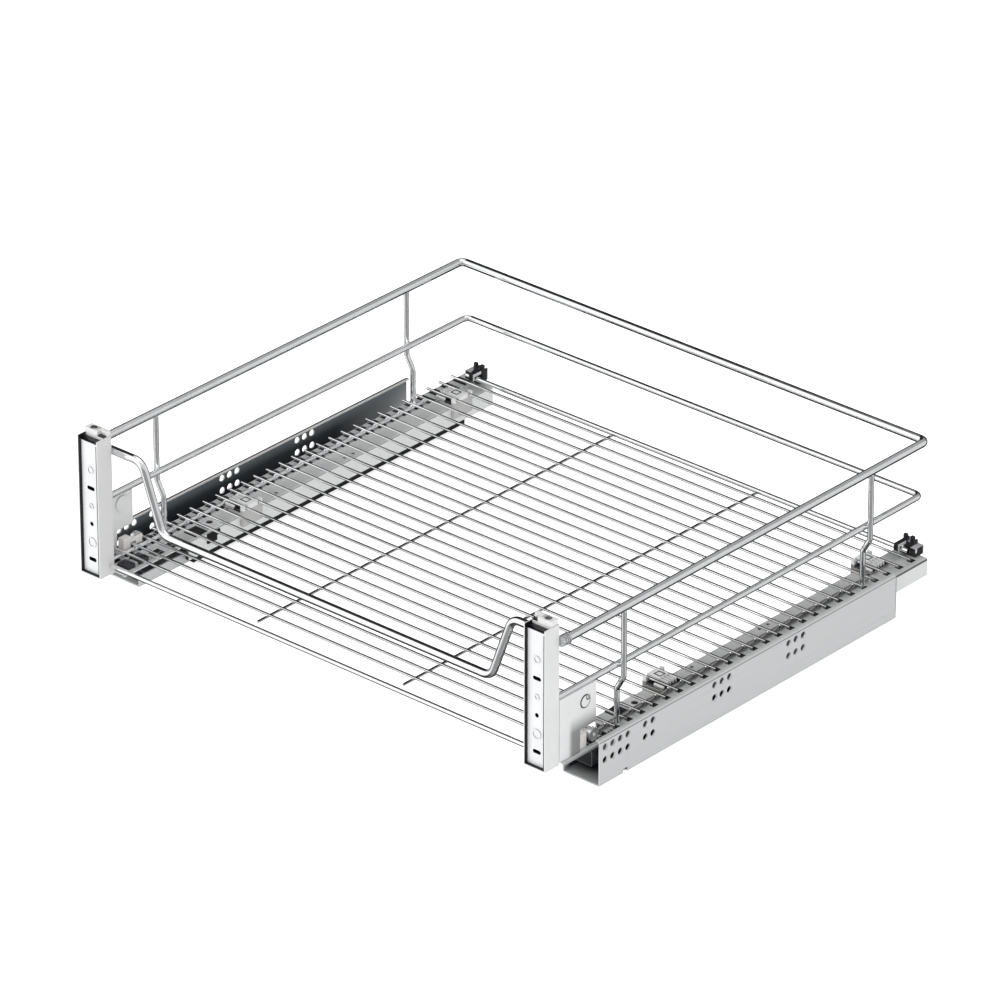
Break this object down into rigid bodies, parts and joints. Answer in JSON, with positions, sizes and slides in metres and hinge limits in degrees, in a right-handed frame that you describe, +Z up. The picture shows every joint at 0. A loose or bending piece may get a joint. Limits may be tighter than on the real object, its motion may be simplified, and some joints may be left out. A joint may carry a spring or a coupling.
{
  "type": "pull-out cabinet drawer",
  "caption": "Chrome wire pull-out drawer with slim front posts on concealed full-extension soft-close slides for a kitchen cabinet.",
  "frame": {"origin": "middle of the closed drawer's bounding box, at the height of the slides' undersides", "axes": "+X to the right seen from the front, +Y from the front to the back of the cabinet, +Z up"},
  "size_m": [0.56, 0.498, 0.1631],
  "materials": {
    "chrome_wire": "polished",
    "post_coat": "satin",
    "plate_coat": "matt",
    "seal_rubber": "matt",
    "cast_zinc": "satin",
    "white_plastic": "semi-gloss",
    "screw_steel": "zinc plated",
    "zinc_sheet": "zinc plated",
    "black_plastic": "moulded",
    "roller_steel": "ground",
    "damper_plastic": "moulded",
    "pale_plastic": "moulded"
  },
  "bodies": {
    "cabinet": {"cabinet_profile_left": "zinc_sheet", "damper_housing_left": "damper_plastic", "damper_spring_left": "roller_steel", "cabinet_profile_right": "zinc_sheet", "damper_housing_right": "damper_plastic", "damper_spring_right": "roller_steel"},
    "drawer": {"base_wire_left": "chrome_wire", "base_wire_right": "chrome_wire", "basket_clips": "pale_plastic", "bracket_screws": "screw_steel", "drawer_rail_left": "zinc_sheet", "drawer_rail_right": "zinc_sheet", "edge_seal_left": "seal_rubber", "edge_seal_right": "seal_rubber", "floor_wires": "chrome_wire", "front_floor_bar": "chrome_wire", "front_plate_left": "plate_coat", "front_plate_right": "plate_coat", "front_rail": "chrome_wire", "mid_rail": "chrome_wire", "post_cover_left": "post_coat", "post_cover_right": "post_coat", "rail_connector_left": "cast_zinc", "rail_connector_right": "cast_zinc", "rear_floor_bar": "chrome_wire", "rear_hook_left": "black_plastic", "rear_hook_right": "black_plastic", "side_guide_left": "black_plastic", "side_guide_right": "black_plastic", "side_plate_left": "post_coat", "side_plate_right": "post_coat", "skirt_catch_left": "black_plastic", "skirt_catch_right": "black_plastic", "support_wires": "chrome_wire", "top_block_left": "post_coat", "top_block_right": "post_coat", "top_rail": "chrome_wire", "upright_front_left": "chrome_wire", "upright_front_right": "chrome_wire", "upright_rear_left": "chrome_wire", "upright_rear_right": "chrome_wire", "wheel_holder_left": "white_plastic", "wheel_holder_right": "white_plastic"},
    "intermediate_left": {"intermediate_rail_left": "zinc_sheet"},
    "lower_cage_left": {"lower_cage_left": "black_plastic", "lower_rollers_left": "roller_steel"},
    "upper_cage_left": {"upper_cage_left": "black_plastic", "upper_rollers_left": "roller_steel"},
    "damper_plunger_left": {"damper_plunger_left": "roller_steel"},
    "tilt_cam_left": {"tilt_cam_left": "post_coat"},
    "height_wheel_left": {"height_wheel_left": "cast_zinc"},
    "intermediate_right": {"intermediate_rail_right": "zinc_sheet"},
    "lower_cage_right": {"lower_cage_right": "black_plastic", "lower_rollers_right": "roller_steel"},
    "upper_cage_right": {"upper_cage_right": "black_plastic", "upper_rollers_right": "roller_steel"},
    "damper_plunger_right": {"damper_plunger_right": "roller_steel"},
    "tilt_cam_right": {"tilt_cam_right": "post_coat"},
    "height_wheel_right": {"height_wheel_right": "cast_zinc"}
  },
  "joints": [
    {"name": "drawer_slide", "type": "slide", "parent": "cabinet", "child": "drawer", "axis": [0, -1, 0], "range_m": [0, 0.4]},
    {"name": "intermediate_left_slide", "type": "slide", "parent": "cabinet", "child": "intermediate_left", "axis": [0, -1, 0], "range_m": [0, 0.2]},
    {"name": "lower_cage_left_slide", "type": "slide", "parent": "cabinet", "child": "lower_cage_left", "axis": [0, -1, 0], "range_m": [0, 0.1]},
    {"name": "upper_cage_left_slide", "type": "slide", "parent": "cabinet", "child": "upper_cage_left", "axis": [0, -1, 0], "range_m": [0, 0.3]},
    {"name": "damper_plunger_left_slide", "type": "slide", "parent": "cabinet", "child": "damper_plunger_left", "axis": [0, -1, 0], "range_m": [0, 0.03]},
    {"name": "intermediate_right_slide", "type": "slide", "parent": "cabinet", "child": "intermediate_right", "axis": [0, -1, 0], "range_m": [0, 0.2]},
    {"name": "lower_cage_right_slide", "type": "slide", "parent": "cabinet", "child": "lower_cage_right", "axis": [0, -1, 0], "range_m": [0, 0.1]},
    {"name": "upper_cage_right_slide", "type": "slide", "parent": "cabinet", "child": "upper_cage_right", "axis": [0, -1, 0], "range_m": [0, 0.3]},
    {"name": "damper_plunger_right_slide", "type": "slide", "parent": "cabinet", "child": "damper_plunger_right", "axis": [0, -1, 0], "range_m": [0, 0.03]},
    {"name": "tilt_cam_left_turn", "type": "hinge", "parent": "drawer", "child": "tilt_cam_left", "pos_m": [-0.2615, -0.1992, 0.0736], "axis": [1, 0, 0], "range_deg": [-90, 90]},
    {"name": "height_wheel_left_turn", "type": "hinge", "parent": "drawer", "child": "height_wheel_left", "pos_m": [-0.2583, -0.1853, 0.0358], "axis": [1, 0, 0], "range_deg": [-180, 180]},
    {"name": "tilt_cam_right_turn", "type": "hinge", "parent": "drawer", "child": "tilt_cam_right", "pos_m": [0.2615, -0.1992, 0.0736], "axis": [1, 0, 0], "range_deg": [-90, 90]},
    {"name": "height_wheel_right_turn", "type": "hinge", "parent": "drawer", "child": "height_wheel_right", "pos_m": [0.2583, -0.1853, 0.0358], "axis": [1, 0, 0], "range_deg": [-180, 180]}
  ],
  "couplings": [
    {"joint": "intermediate_left_slide", "follows": "drawer_slide", "ratio": 0.5},
    {"joint": "lower_cage_left_slide", "follows": "drawer_slide", "ratio": 0.25},
    {"joint": "upper_cage_left_slide", "follows": "drawer_slide", "ratio": 0.75},
    {"joint": "damper_plunger_left_slide", "follows": "drawer_slide", "ratio": 0.075},
    {"joint": "intermediate_right_slide", "follows": "drawer_slide", "ratio": 0.5},
    {"joint": "lower_cage_right_slide", "follows": "drawer_slide", "ratio": 0.25},
    {"joint": "upper_cage_right_slide", "follows": "drawer_slide", "ratio": 0.75},
    {"joint": "damper_plunger_right_slide", "follows": "drawer_slide", "ratio": 0.075}
  ]
}
